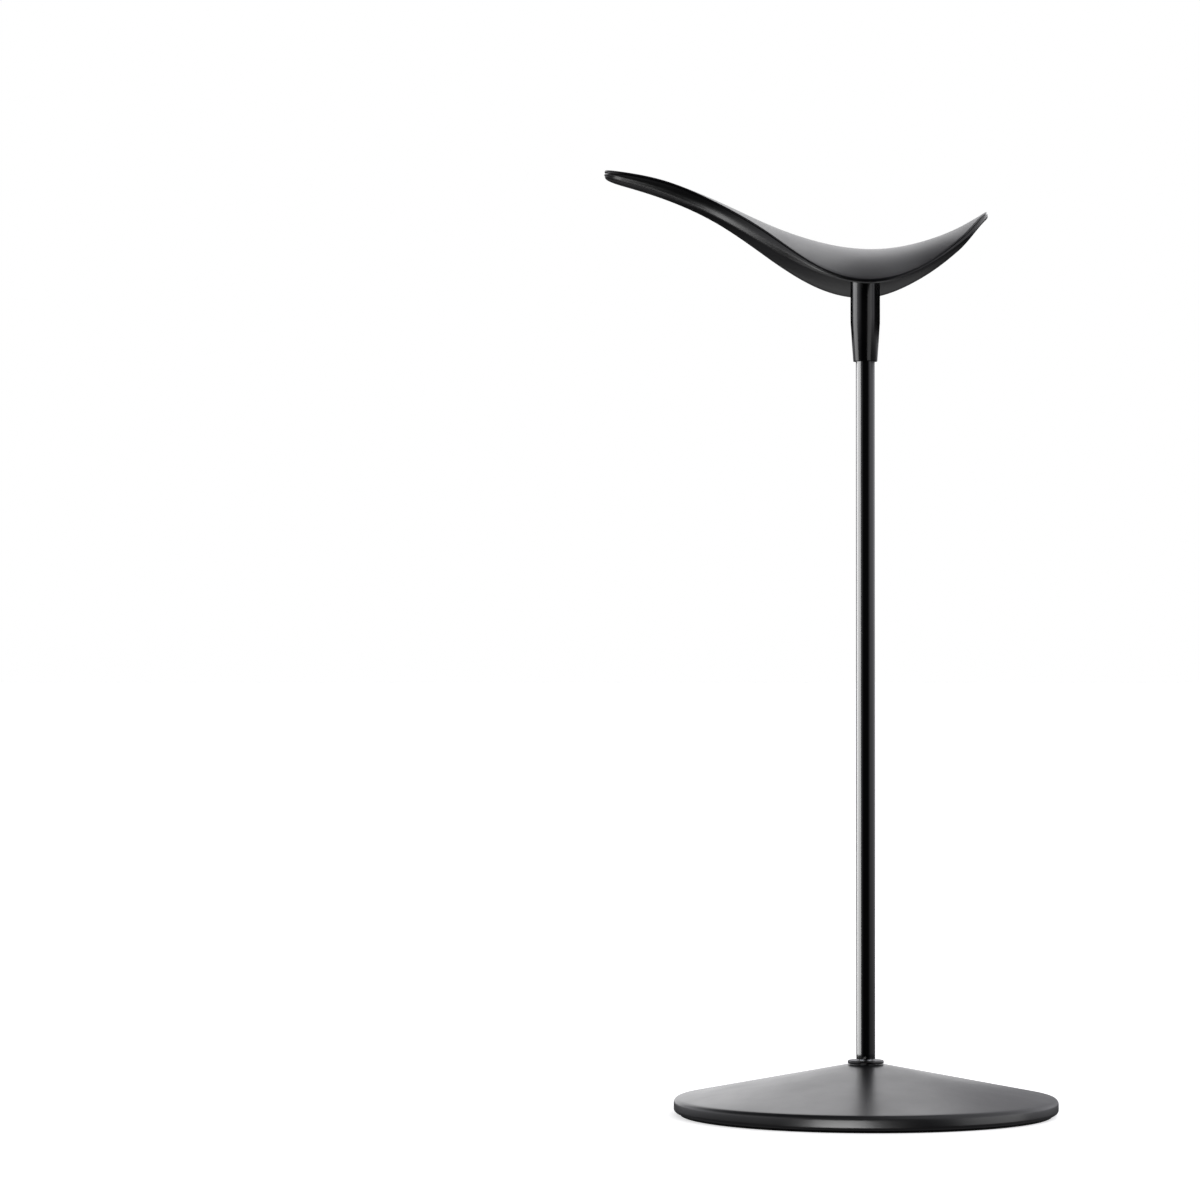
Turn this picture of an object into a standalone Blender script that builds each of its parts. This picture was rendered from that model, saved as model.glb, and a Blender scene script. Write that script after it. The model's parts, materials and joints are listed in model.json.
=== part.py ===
"""Headphone stand: a weighted round base, a slender pole and a turning saddle.

Constants are in millimetres and become metres as the meshes are made.
The table is z = 0, the pole stands on the Z axis and the long wing points along -X.
"""

import math

import bmesh
import bpy
import numpy as np

MM = 0.001
GAP = 0.3
OVERSHOOT = 1.0
SHARP_DEGREES = 35.0

# Facets round a turned piece
FINE = 96
DISC = 72
RING = 48
ROUND = 32
SMALL = 24
HEXAGON = 6

# Base
BASE_RADIUS = 65.0
COVER_WALL = 1.5
RIM_BOTTOM = 0.9
RIM_TOP_ROUND = 1.7
RIM_BOTTOM_ROUND = 1.4
CONE_APEX = 18.4
CONE_SLOPE = 0.197
LAND_RADIUS = 6.4
FOOT_RADIUS = 62.9
FOOT_TOP = 1.0
PLATE_RADIUS = 63.1
PLATE_BOTTOM = FOOT_TOP + GAP
PLATE_TOP = 2.8
BALLAST_RADIUS = 58.0
BALLAST_CLEARANCE = 0.6
BOLT_POCKET_RADIUS = 5.4
BOLT_POCKET_TOP = 9.5

# Cover screws and the bosses that they turn into
SCREW_COUNT = 3
SCREW_CIRCLE = 34.0
SCREW_SHANK = 1.5
SCREW_HEAD = 2.8
SCREW_TOP = 8.6
COVER_SOCKET = 1.1
COVER_SOCKET_DEPTH = 1.0
BOSS_RADIUS = 3.6
BOSS_SINK = 1.4
BOSS_CLEARANCE = 0.4

# Pole bolt
BOLT_SHANK = 2.0
BOLT_FLATS = 7.0
BOLT_HEAD_BOTTOM = 4.0
BOLT_HEAD_HEIGHT = 2.8
SPRING_WASHER_RADIUS = 3.8
SPRING_WASHER_HEIGHT = 1.0
WASHER_RADIUS = 4.6
WASHER_HEIGHT = 0.8
BOLT_TOP = 32.0

# Collar and pole
COLLAR_RADIUS = 6.1
COLLAR_HEIGHT = 1.1
COLLAR_ROUND = 0.4
POLE_RADIUS = 3.2
POLE_TOP = 281.6
POLE_EDGE = 0.3
POLE_LOWER_HOLE_DEPTH = 14.0
POLE_UPPER_HOLE_DEPTH = 13.0

# Turning neck
NECK_BOTTOM = 255.0
NECK_BOTTOM_RADIUS = 4.1
NECK_SHOULDER = 268.0
NECK_RADIUS = 5.0
NECK_BORE = 4.3
NECK_BORE_BOTTOM = 261.0
FLANGE_RADIUS = 10.2
FLANGE_BOTTOM = 285.6
FLANGE_TOP = 287.2
BUSH_RADIUS = 4.0
BUSH_BOTTOM = 262.0
BUSH_TOP = 280.6
FRICTION_DISC_RADIUS = 3.9
FRICTION_DISC_HEIGHT = 1.0
PIVOT_SHANK = 1.5
PIVOT_BOTTOM = 270.0
PIVOT_HEAD = 2.75
PIVOT_HEAD_HEIGHT = 2.0
PIVOT_SOCKET = 1.3
PIVOT_SOCKET_DEPTH = 1.2

# Saddle: rows of x, crest height, rim height, half width and depth
SADDLE_STATIONS = (
    (-88.3, 319.9, 319.6, 7.7, 2.8),
    (-68.0, 315.9, 315.5, 10.8, 4.6),
    (-50.0, 309.3, 307.7, 12.5, 5.4),
    (-34.0, 301.9, 297.6, 20.0, 5.6),
    (-20.0, 296.7, 286.9, 29.2, 4.1),
    (-6.0, 293.6, 280.8, 33.3, 2.9),
    (6.0, 293.2, 280.9, 33.2, 3.0),
    (20.0, 295.9, 286.8, 25.5, 3.6),
    (32.0, 300.6, 296.2, 16.8, 3.5),
    (41.0, 305.8, 305.4, 8.3, 2.6),
)
LONG_TIP_ROUND = 7.0
LONG_TIP_POWER = 2.6
SHORT_TIP_ROUND = 9.0
SHORT_TIP_POWER = 2.2
SADDLE_LENGTHWISE = 36
SADDLE_CROSSWISE = 10
CORNER_STEPS = 2
PAD_DEPTH = 0.6
PARTING_GAP = 0.3
EDGE_INSET = 0.4
PAD_CORNERS = (0.25, 0.10)
SHELL_CORNERS = (0.20, 1.00)
EDGE_FLAT = 0.05
SADDLE_BOSS_RADIUS = 10.8
SADDLE_BOSS_SKIN = 0.6
SADDLE_BOSS_RINGS = 4
PIVOT_POCKET_RADIUS = 3.4
PIVOT_POCKET_TOP = 290.0
SADDLE_SCREW_PLACES = {"long": -7.5, "short": 7.5}
SADDLE_SCREW_SHANK = 1.1
SADDLE_SCREW_HEAD = 2.0
SADDLE_SCREW_HEAD_HEIGHT = 1.5
SADDLE_SCREW_TOP = 290.2
SADDLE_SOCKET = 0.9
SADDLE_SOCKET_DEPTH = 0.8

# Colour, roughness and metallic value of each material
FINISHES = {
    "satin_black": ((0.011, 0.011, 0.012), 0.32, 0.0),
    "gloss_black": ((0.005, 0.005, 0.006), 0.12, 0.0),
    "soft_black": ((0.014, 0.014, 0.016), 0.45, 0.0),
    "black_foam": ((0.020, 0.020, 0.020), 0.90, 0.0),
    "cast_iron": ((0.090, 0.088, 0.085), 0.65, 1.0),
    "zinc_steel": ((0.550, 0.560, 0.580), 0.30, 1.0),
    "white_nylon": ((0.750, 0.740, 0.700), 0.45, 0.0),
}


def clear_objects():
    """Empty the scene."""
    for item in list(bpy.data.objects):
        bpy.data.objects.remove(item, do_unlink=True)


def make_material(name, finish):
    """Return a Principled material of one of the finishes."""
    colour, roughness, metallic = FINISHES[finish]
    material = bpy.data.materials.new(name)
    material.use_nodes = True
    shader = material.node_tree.nodes["Principled BSDF"]
    shader.inputs["Base Color"].default_value = (*colour, 1.0)
    shader.inputs["Roughness"].default_value = roughness
    shader.inputs["Metallic"].default_value = metallic
    return material


def finish_object(name, mesh_builder, finish, location=(0.0, 0.0, 0.0), parent=None):
    """Turn a bmesh in millimetres into a named, smooth-shaded object in metres."""
    bmesh.ops.scale(mesh_builder, vec=(MM, MM, MM), verts=mesh_builder.verts)
    bmesh.ops.recalc_face_normals(mesh_builder, faces=mesh_builder.faces)
    mesh = bpy.data.meshes.new(name)
    mesh_builder.to_mesh(mesh)
    mesh_builder.free()
    mesh.shade_smooth()
    mesh.set_sharp_from_angle(angle=math.radians(SHARP_DEGREES))
    part = bpy.data.objects.new(name, mesh)
    if finish is not None:
        mesh.materials.append(make_material(name, finish))
    bpy.context.scene.collection.objects.link(part)
    part.location = [MM * value for value in location]
    part.parent = parent
    return part


def lathe(profile, steps):
    """Spin a profile of (radius, height) points about Z; it may start and end on the axis."""
    builder = bmesh.new()
    verts = [builder.verts.new((radius, 0.0, height)) for radius, height in profile]
    pairs = list(zip(verts, verts[1:]))
    if profile[0][0] > 0.0:
        pairs.append((verts[-1], verts[0]))
    edges = [builder.edges.new(pair) for pair in pairs]
    bmesh.ops.spin(
        builder,
        geom=verts + edges,
        axis=(0.0, 0.0, 1.0),
        cent=(0.0, 0.0, 0.0),
        angle=math.tau,
        steps=steps,
        use_merge=True,
    )
    bmesh.ops.remove_doubles(builder, verts=builder.verts, dist=1e-4)
    return builder


def arc(centre_radius, centre_height, radius, start_degrees, end_degrees, steps):
    """Return profile points along a circular arc."""
    angles = np.radians(np.linspace(start_degrees, end_degrees, steps + 1))
    return [
        (centre_radius + radius * math.cos(angle), centre_height + radius * math.sin(angle))
        for angle in angles
    ]


def disc_profile(radius, bottom, top):
    """Return the profile of a plain disc."""
    return [(0.0, top), (radius, top), (radius, bottom), (0.0, bottom)]


def tube_profile(inner, outer, bottom, top):
    """Return the profile of a plain ring."""
    return [(inner, bottom), (outer, bottom), (outer, top), (inner, top)]


def add_lathe(name, profile, steps, finish, location=(0.0, 0.0, 0.0), parent=None):
    """Make a turned object."""
    return finish_object(name, lathe(profile, steps), finish, location, parent)


def hide(solid):
    """Mark a solid that only serves a Boolean."""
    solid.hide_render = True
    solid.display_type = "WIRE"


def add_cutter(name, radius, bottom, top, steps, x=0.0, y=0.0):
    """Make a hidden upright prism for the Booleans."""
    builder = bmesh.new()
    bmesh.ops.create_cone(
        builder, cap_ends=True, segments=steps, radius1=radius, radius2=radius, depth=top - bottom
    )
    cutter = finish_object(name, builder, None, (x, y, 0.5 * (bottom + top)))
    hide(cutter)
    return cutter


def combine(target, cutter, operation):
    """Add or subtract a hidden solid."""
    modifier = target.modifiers.new(cutter.name, "BOOLEAN")
    modifier.operation = operation
    modifier.object = cutter


def circle_places():
    """Return the x and y of each cover screw."""
    angles = [math.tau * index / SCREW_COUNT for index in range(SCREW_COUNT)]
    return [(SCREW_CIRCLE * math.cos(angle), SCREW_CIRCLE * math.sin(angle)) for angle in angles]


def cone_height(radius):
    """Return the height of the base's sloping top at a radius."""
    return CONE_APEX - CONE_SLOPE * radius


def inner_cone_height(radius):
    """Return the height of the cover's underside at a radius."""
    return cone_height(radius) - COVER_WALL


# Base


def build_base_cover():
    """Make the conical shell with its rounded rim and three screw bosses."""
    slope_degrees = math.degrees(math.atan(CONE_SLOPE))
    top_centre = BASE_RADIUS - RIM_TOP_ROUND
    lift = RIM_TOP_ROUND * math.sin(math.radians(90.0 - slope_degrees))
    reach = RIM_TOP_ROUND * math.cos(math.radians(90.0 - slope_degrees))
    top_centre_height = cone_height(top_centre + reach) - lift
    bottom_centre = BASE_RADIUS - RIM_BOTTOM_ROUND
    inner_radius = BASE_RADIUS - COVER_WALL
    hole = BOLT_SHANK + GAP
    profile = [(hole, cone_height(LAND_RADIUS)), (LAND_RADIUS, cone_height(LAND_RADIUS))]
    profile += arc(top_centre, top_centre_height, RIM_TOP_ROUND, 90.0 - slope_degrees, 0.0, 4)
    profile += arc(bottom_centre, RIM_BOTTOM + RIM_BOTTOM_ROUND, RIM_BOTTOM_ROUND, 0.0, -90.0, 3)
    profile += [(inner_radius, RIM_BOTTOM), (inner_radius, inner_cone_height(inner_radius))]
    profile += [(LAND_RADIUS, inner_cone_height(LAND_RADIUS)), (hole, inner_cone_height(LAND_RADIUS))]
    cover = add_lathe("base_cover", profile, FINE, "satin_black")
    boss_bottom = PLATE_TOP + GAP
    boss_top = cone_height(SCREW_CIRCLE) - BOSS_SINK
    hole_bottom = boss_bottom - OVERSHOOT
    hole_top = SCREW_TOP + GAP
    for index, (x, y) in enumerate(circle_places()):
        boss = add_cutter(f"cover_boss_{index}", BOSS_RADIUS, boss_bottom, boss_top, SMALL, x, y)
        drill = add_cutter(f"boss_hole_{index}", SCREW_SHANK + GAP, hole_bottom, hole_top, SMALL, x, y)
        combine(cover, boss, "UNION")
        combine(cover, drill, "DIFFERENCE")


def build_ballast():
    """Make the cast disc that fills the cone, pocketed for the bolt and the bosses."""
    hole = BOLT_SHANK + GAP
    bottom = PLATE_TOP + GAP
    profile = [
        (hole, inner_cone_height(LAND_RADIUS) - BALLAST_CLEARANCE),
        (LAND_RADIUS, inner_cone_height(LAND_RADIUS) - BALLAST_CLEARANCE),
        (BALLAST_RADIUS, inner_cone_height(BALLAST_RADIUS) - BALLAST_CLEARANCE),
        (BALLAST_RADIUS, bottom),
        (BOLT_POCKET_RADIUS, bottom),
        (BOLT_POCKET_RADIUS, BOLT_POCKET_TOP),
        (hole, BOLT_POCKET_TOP),
    ]
    ballast = add_lathe("base_ballast", profile, DISC, "cast_iron")
    radius = BOSS_RADIUS + BOSS_CLEARANCE
    for index, (x, y) in enumerate(circle_places()):
        drill = add_cutter(f"ballast_hole_{index}", radius, bottom - OVERSHOOT, CONE_APEX, SMALL, x, y)
        combine(ballast, drill, "DIFFERENCE")


def build_base_plate():
    """Make the steel closing plate with its three countersunk holes."""
    plate = add_lathe("base_plate", disc_profile(PLATE_RADIUS, PLATE_BOTTOM, PLATE_TOP), DISC, "zinc_steel")
    countersink = [
        (0.0, PLATE_TOP + OVERSHOOT),
        (SCREW_SHANK + GAP, PLATE_TOP + OVERSHOOT),
        (SCREW_SHANK + GAP, PLATE_TOP),
        (SCREW_HEAD + GAP, PLATE_BOTTOM),
        (SCREW_HEAD + GAP, PLATE_BOTTOM - OVERSHOOT),
        (0.0, PLATE_BOTTOM - OVERSHOOT),
    ]
    for index, (x, y) in enumerate(circle_places()):
        drill = add_lathe(f"countersink_{index}", countersink, SMALL, None, (x, y, 0.0))
        hide(drill)
        combine(plate, drill, "DIFFERENCE")


def build_cover_screws():
    """Make the three countersunk screws, heads flush under the plate."""
    profile = [
        (0.0, SCREW_TOP),
        (SCREW_SHANK, SCREW_TOP),
        (SCREW_SHANK, PLATE_TOP),
        (SCREW_HEAD, PLATE_BOTTOM),
        (0.0, PLATE_BOTTOM),
    ]
    socket_bottom = PLATE_BOTTOM - OVERSHOOT
    socket_top = PLATE_BOTTOM + COVER_SOCKET_DEPTH
    for index, (x, y) in enumerate(circle_places()):
        screw = add_lathe(f"cover_screw_{index}", profile, SMALL, "zinc_steel", (x, y, 0.0))
        socket = add_cutter(f"cover_socket_{index}", COVER_SOCKET, socket_bottom, socket_top, HEXAGON, x, y)
        combine(screw, socket, "DIFFERENCE")


def build_foot():
    """Make the full disc of foam that the stand rests on."""
    add_lathe("base_foot", disc_profile(FOOT_RADIUS, 0.0, FOOT_TOP), DISC, "black_foam")


# Pole


def build_pole_bolt():
    """Make the hexagon bolt that draws the pole down onto the base, and its two washers."""
    half_face = math.pi / HEXAGON
    corner = 0.5 * BOLT_FLATS / math.cos(half_face)
    head_top = BOLT_HEAD_BOTTOM + BOLT_HEAD_HEIGHT
    profile = [
        (0.0, BOLT_TOP),
        (BOLT_SHANK, BOLT_TOP),
        (BOLT_SHANK, head_top),
        (corner, head_top),
        (corner, BOLT_HEAD_BOTTOM),
        (0.0, BOLT_HEAD_BOTTOM),
    ]
    builder = lathe(profile, SMALL)
    for vert in builder.verts:
        if math.hypot(vert.co.x, vert.co.y) > BOLT_SHANK + GAP:
            turn = math.atan2(vert.co.y, vert.co.x) % (2.0 * half_face) - half_face
            scale = math.cos(half_face) / math.cos(turn)
            vert.co.x *= scale
            vert.co.y *= scale
    finish_object("pole_bolt", builder, "zinc_steel")
    hole = BOLT_SHANK + GAP
    spring_bottom = head_top + GAP
    spring_top = spring_bottom + SPRING_WASHER_HEIGHT
    spring = tube_profile(hole, SPRING_WASHER_RADIUS, spring_bottom, spring_top)
    add_lathe("bolt_spring_washer", spring, SMALL, "zinc_steel")
    washer_bottom = spring_top + GAP
    washer = tube_profile(hole, WASHER_RADIUS, washer_bottom, washer_bottom + WASHER_HEIGHT)
    add_lathe("bolt_washer", washer, SMALL, "zinc_steel")


def collar_bottom():
    """Return the height of the collar's seat on the cover."""
    return cone_height(LAND_RADIUS) + GAP


def build_collar():
    """Make the thin flange ring between the base and the pole."""
    bottom = collar_bottom()
    top = bottom + COLLAR_HEIGHT
    hole = BOLT_SHANK + GAP
    profile = [(hole, bottom), (COLLAR_RADIUS, bottom)]
    profile += arc(COLLAR_RADIUS - COLLAR_ROUND, top - COLLAR_ROUND, COLLAR_ROUND, 0.0, 90.0, 3)
    profile += [(hole, top)]
    add_lathe("pole_collar", profile, RING, "gloss_black")


def build_pole():
    """Make the solid rod with a tapped hole in each end."""
    bottom = collar_bottom() + COLLAR_HEIGHT + GAP
    lower_hole = BOLT_SHANK + GAP
    upper_hole = PIVOT_SHANK + GAP
    profile = [
        (0.0, bottom + POLE_LOWER_HOLE_DEPTH),
        (lower_hole, bottom + POLE_LOWER_HOLE_DEPTH),
        (lower_hole, bottom),
        (POLE_RADIUS - POLE_EDGE, bottom),
        (POLE_RADIUS, bottom + POLE_EDGE),
        (POLE_RADIUS, POLE_TOP - POLE_EDGE),
        (POLE_RADIUS - POLE_EDGE, POLE_TOP),
        (upper_hole, POLE_TOP),
        (upper_hole, POLE_TOP - POLE_UPPER_HOLE_DEPTH),
        (0.0, POLE_TOP - POLE_UPPER_HOLE_DEPTH),
    ]
    add_lathe("pole_rod", profile, ROUND, "gloss_black")


# Turning neck


def build_neck_sleeve(pivot):
    """Make the turned sleeve with a tapered skirt, a web over the pole and a flange."""
    web_bottom = POLE_TOP + FRICTION_DISC_HEIGHT + 2.0 * GAP
    skirt_bore = POLE_RADIUS + GAP
    hole = PIVOT_SHANK + GAP
    profile = [
        (hole, FLANGE_TOP),
        (FLANGE_RADIUS, FLANGE_TOP),
        (FLANGE_RADIUS, FLANGE_BOTTOM),
        (NECK_RADIUS, FLANGE_BOTTOM),
        (NECK_RADIUS, NECK_SHOULDER),
        (NECK_BOTTOM_RADIUS, NECK_BOTTOM + GAP),
        (NECK_BOTTOM_RADIUS - GAP, NECK_BOTTOM),
        (skirt_bore, NECK_BOTTOM),
        (skirt_bore, NECK_BORE_BOTTOM),
        (NECK_BORE, NECK_BORE_BOTTOM),
        (NECK_BORE, web_bottom),
        (hole, web_bottom),
    ]
    sleeve = add_lathe("neck_sleeve", lower(profile), ROUND, "gloss_black", parent=pivot)
    radius = SADDLE_SCREW_SHANK + GAP
    for side, x in SADDLE_SCREW_PLACES.items():
        name = f"flange_hole_{side}"
        drill = add_cutter(name, radius, FLANGE_BOTTOM - OVERSHOOT, FLANGE_TOP + OVERSHOOT, SMALL, x)
        combine(sleeve, drill, "DIFFERENCE")


def lower(profile):
    """Give a profile heights above the pivot's origin on the pole's top."""
    return [(radius, height - POLE_TOP) for radius, height in profile]


def build_neck_bush(pivot):
    """Make the nylon bush pressed into the sleeve that grips the pole."""
    profile = tube_profile(POLE_RADIUS + GAP, BUSH_RADIUS, BUSH_BOTTOM, BUSH_TOP)
    add_lathe("neck_bush", lower(profile), ROUND, "white_nylon", parent=pivot)


def build_pivot_hardware():
    """Make the friction disc on the pole's top and the screw that the saddle turns about."""
    hole = PIVOT_SHANK + GAP
    disc_bottom = POLE_TOP + GAP
    disc = tube_profile(hole, FRICTION_DISC_RADIUS, disc_bottom, disc_bottom + FRICTION_DISC_HEIGHT)
    add_lathe("pivot_friction_disc", disc, SMALL, "white_nylon")
    head_bottom = FLANGE_TOP + GAP
    head_top = head_bottom + PIVOT_HEAD_HEIGHT
    profile = [
        (0.0, head_top),
        (PIVOT_HEAD, head_top),
        (PIVOT_HEAD, head_bottom),
        (PIVOT_SHANK, head_bottom),
        (PIVOT_SHANK, PIVOT_BOTTOM),
        (0.0, PIVOT_BOTTOM),
    ]
    screw = add_lathe("pivot_screw", profile, SMALL, "zinc_steel")
    socket_bottom = head_top - PIVOT_SOCKET_DEPTH
    socket = add_cutter("pivot_socket", PIVOT_SOCKET, socket_bottom, head_top + OVERSHOOT, HEXAGON)
    combine(screw, socket, "DIFFERENCE")


# Saddle


def natural_spline(xs, values):
    """Return the smooth curve through the stations, straight past both ends."""
    count = len(xs)
    steps = np.diff(xs)
    slopes = np.diff(values) / steps
    system = np.eye(count)
    target = np.zeros(count)
    for index in range(1, count - 1):
        system[index, index - 1] = steps[index - 1]
        system[index, index] = 2.0 * (steps[index - 1] + steps[index])
        system[index, index + 1] = steps[index]
        target[index] = 6.0 * (slopes[index] - slopes[index - 1])
    bends = np.linalg.solve(system, target)

    def curve(x):
        index = int(np.clip(np.searchsorted(xs, x) - 1, 0, count - 2))
        width = steps[index]
        left = (xs[index + 1] - x) / width
        right = 1.0 - left
        bend = (left**3 - left) * bends[index] + (right**3 - right) * bends[index + 1]
        return left * values[index] + right * values[index + 1] + bend * width**2 / 6.0

    return curve


STATION_COLUMNS = np.array(SADDLE_STATIONS).T
LONG_TIP = STATION_COLUMNS[0][0]
SHORT_TIP = STATION_COLUMNS[0][-1]
CREST = natural_spline(STATION_COLUMNS[0], STATION_COLUMNS[1])
RIM = natural_spline(STATION_COLUMNS[0], STATION_COLUMNS[2])
FULL_HALF_WIDTH = natural_spline(STATION_COLUMNS[0], STATION_COLUMNS[3])
DEPTH = natural_spline(STATION_COLUMNS[0], STATION_COLUMNS[4])


def tip_rounding(distance, length, power):
    """Return how much of the full width is left at a distance from a rounded tip."""
    if distance >= length:
        return 1.0
    reach = 1.0 - max(distance, 0.0) / length
    return (1.0 - reach**power) ** (1.0 / power)


def half_width(x):
    """Return the saddle's half width, rounded off at both tips."""
    long_end = tip_rounding(x - LONG_TIP, LONG_TIP_ROUND, LONG_TIP_POWER)
    short_end = tip_rounding(SHORT_TIP - x, SHORT_TIP_ROUND, SHORT_TIP_POWER)
    return FULL_HALF_WIDTH(x) * long_end * short_end


def saddle_top(x, y):
    """Return the height of the saddle's upper face, which droops to both sides of its crest."""
    across = y / FULL_HALF_WIDTH(x)
    return CREST(x) - (CREST(x) - RIM(x)) * across**2


def lengthwise_places():
    """Return x places from tip to tip, closer together at the tips."""
    turns = np.linspace(0.0, math.pi, SADDLE_LENGTHWISE + 1)
    middle = 0.5 * (LONG_TIP + SHORT_TIP)
    reach = 0.5 * (SHORT_TIP - LONG_TIP)
    return [middle - reach * math.cos(turn) for turn in turns]


def saddle_outline():
    """Return the plan outline as a ring of (x, y): along +Y from the long tip, back along -Y."""
    places = lengthwise_places()
    side = [(x, half_width(x)) for x in places[1:-1]]
    mirrored = [(x, -y) for x, y in reversed(side)]
    return [(places[0], 0.0)] + side + [(places[-1], 0.0)] + mirrored


def outward_normals(ring):
    """Return the plan normal at each point of an outline that runs clockwise."""
    normals = []
    for index in range(len(ring)):
        before = ring[index - 1]
        after = ring[(index + 1) % len(ring)]
        along_x = after[0] - before[0]
        along_y = after[1] - before[1]
        length = math.hypot(along_x, along_y)
        normals.append((-along_y / length, along_x / length))
    return normals


def edge_ring(outline, normals, layer, side, angle):
    """Return one ring of a layer's edge: side is 1 on its upper corner and -1 on its lower one."""
    upper, lower_depth, corners = layer
    ring = []
    for (x, y), (normal_x, normal_y) in zip(outline, normals):
        rise_inward = saddle_top(x - EDGE_INSET * normal_x, y - EDGE_INSET * normal_y) - saddle_top(x, y)
        slope = rise_inward / EDGE_INSET
        cosine = 1.0 / math.hypot(1.0, slope)
        sine = slope * cosine
        bottom = lower_depth(x)
        middle = 0.5 * (upper + bottom)
        half = 0.5 * (bottom - upper) * cosine
        upper_corner = min(corners[0], half)
        lower_corner = min(corners[1], 2.0 * half - upper_corner - EDGE_FLAT)
        corner = upper_corner if side > 0 else lower_corner
        rise = side * (half - corner) + corner * math.sin(angle)
        bulge = EDGE_INSET - corner + corner * math.cos(angle)
        inward = middle * cosine * sine + EDGE_INSET
        centre_x = x - inward * normal_x
        centre_y = y - inward * normal_y
        outward = bulge * cosine + rise * sine
        height = saddle_top(centre_x, centre_y) - middle - bulge * sine + rise * cosine
        ring.append((centre_x + outward * normal_x, centre_y + outward * normal_y, height))
    return ring


def bridge(builder, first, second):
    """Join two closed rings of vertices with a band of faces."""
    for index in range(len(first)):
        following = (index + 1) % len(first)
        builder.faces.new((first[index], first[following], second[following], second[index]))


def fill_across(builder, ring, depth):
    """Close a ring with lines of vertices across the saddle, at a depth under its upper face."""
    half = len(ring) // 2
    lines = []
    for index in range(1, half):
        near = ring[index]
        far = ring[-index]
        line = [near]
        for step in range(1, SADDLE_CROSSWISE):
            share = step / SADDLE_CROSSWISE
            x = near.co.x
            y = near.co.y + (far.co.y - near.co.y) * share
            line.append(builder.verts.new((x, y, saddle_top(x, y) - depth(x))))
        line.append(far)
        lines.append(line)
    for first, second in zip(lines, lines[1:]):
        for step in range(SADDLE_CROSSWISE):
            builder.faces.new((first[step], first[step + 1], second[step + 1], second[step]))
    for tip, line in ((ring[0], lines[0]), (ring[half], lines[-1])):
        for step in range(SADDLE_CROSSWISE):
            builder.faces.new((tip, line[step], line[step + 1]))


def saddle_layer(upper, lower_depth, corners):
    """Return one layer of the saddle, between two depths under its upper face."""
    builder = bmesh.new()
    outline = saddle_outline()
    normals = outward_normals(outline)
    turns = np.linspace(0.0, 0.5 * math.pi, CORNER_STEPS + 1)
    places = [(1, angle) for angle in turns[::-1]] + [(-1, -angle) for angle in turns]
    rings = []
    for side, angle in places:
        points = edge_ring(outline, normals, (upper, lower_depth, corners), side, angle)
        rings.append([builder.verts.new(point) for point in points])
    for first, second in zip(rings, rings[1:]):
        bridge(builder, first, second)
    fill_across(builder, rings[0], lambda x: upper)
    fill_across(builder, rings[-1], lower_depth)
    bmesh.ops.translate(builder, verts=builder.verts, vec=(0.0, 0.0, -POLE_TOP))
    return builder


def build_saddle_boss(bottom):
    """Make the round boss, whose top follows the shell just under its upper face."""
    blank_top = bottom + SADDLE_BOSS_SKIN
    profile = [(radius, blank_top) for radius in np.linspace(0.0, SADDLE_BOSS_RADIUS, SADDLE_BOSS_RINGS)]
    profile += [(SADDLE_BOSS_RADIUS, bottom), (0.0, bottom)]
    builder = lathe(profile, ROUND)
    sunk = PAD_DEPTH + PARTING_GAP + SADDLE_BOSS_SKIN
    for vert in builder.verts:
        if vert.co.z > bottom + GAP:
            vert.co.z = saddle_top(vert.co.x, vert.co.y) - sunk
    boss = finish_object("saddle_boss", builder, None)
    hide(boss)
    return boss


def build_saddle_shell(pivot):
    """Make the rigid lower skin with its boss, pivot pocket and two screw holes."""
    builder = saddle_layer(PAD_DEPTH + PARTING_GAP, DEPTH, SHELL_CORNERS)
    shell = finish_object("saddle_shell", builder, "satin_black", parent=pivot)
    boss_bottom = FLANGE_TOP + GAP
    hole_bottom = boss_bottom - OVERSHOOT
    combine(shell, build_saddle_boss(boss_bottom), "UNION")
    pocket = add_cutter("pivot_pocket", PIVOT_POCKET_RADIUS, hole_bottom, PIVOT_POCKET_TOP, ROUND)
    combine(shell, pocket, "DIFFERENCE")
    radius = SADDLE_SCREW_SHANK + GAP
    for side, x in SADDLE_SCREW_PLACES.items():
        drill = add_cutter(f"saddle_hole_{side}", radius, hole_bottom, SADDLE_SCREW_TOP + GAP, SMALL, x)
        combine(shell, drill, "DIFFERENCE")


def build_saddle_pad(pivot):
    """Make the soft upper skin that the headband lies on."""
    builder = saddle_layer(0.0, lambda x: PAD_DEPTH, PAD_CORNERS)
    finish_object("saddle_pad", builder, "soft_black", parent=pivot)


def build_saddle_screws(pivot):
    """Make the two screws that hold the shell's boss on the neck's flange."""
    head_top = FLANGE_BOTTOM - GAP
    head_bottom = head_top - SADDLE_SCREW_HEAD_HEIGHT
    profile = [
        (0.0, SADDLE_SCREW_TOP),
        (SADDLE_SCREW_SHANK, SADDLE_SCREW_TOP),
        (SADDLE_SCREW_SHANK, head_top),
        (SADDLE_SCREW_HEAD, head_top),
        (SADDLE_SCREW_HEAD, head_bottom),
        (0.0, head_bottom),
    ]
    socket_bottom = head_bottom - OVERSHOOT
    socket_top = head_bottom + SADDLE_SOCKET_DEPTH
    for side, x in SADDLE_SCREW_PLACES.items():
        name = f"saddle_screw_{side}"
        screw = add_lathe(name, lower(profile), SMALL, "zinc_steel", (x, 0.0, 0.0), pivot)
        socket = add_cutter(f"{name}_socket", SADDLE_SOCKET, socket_bottom, socket_top, HEXAGON, x)
        combine(screw, socket, "DIFFERENCE")


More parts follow.
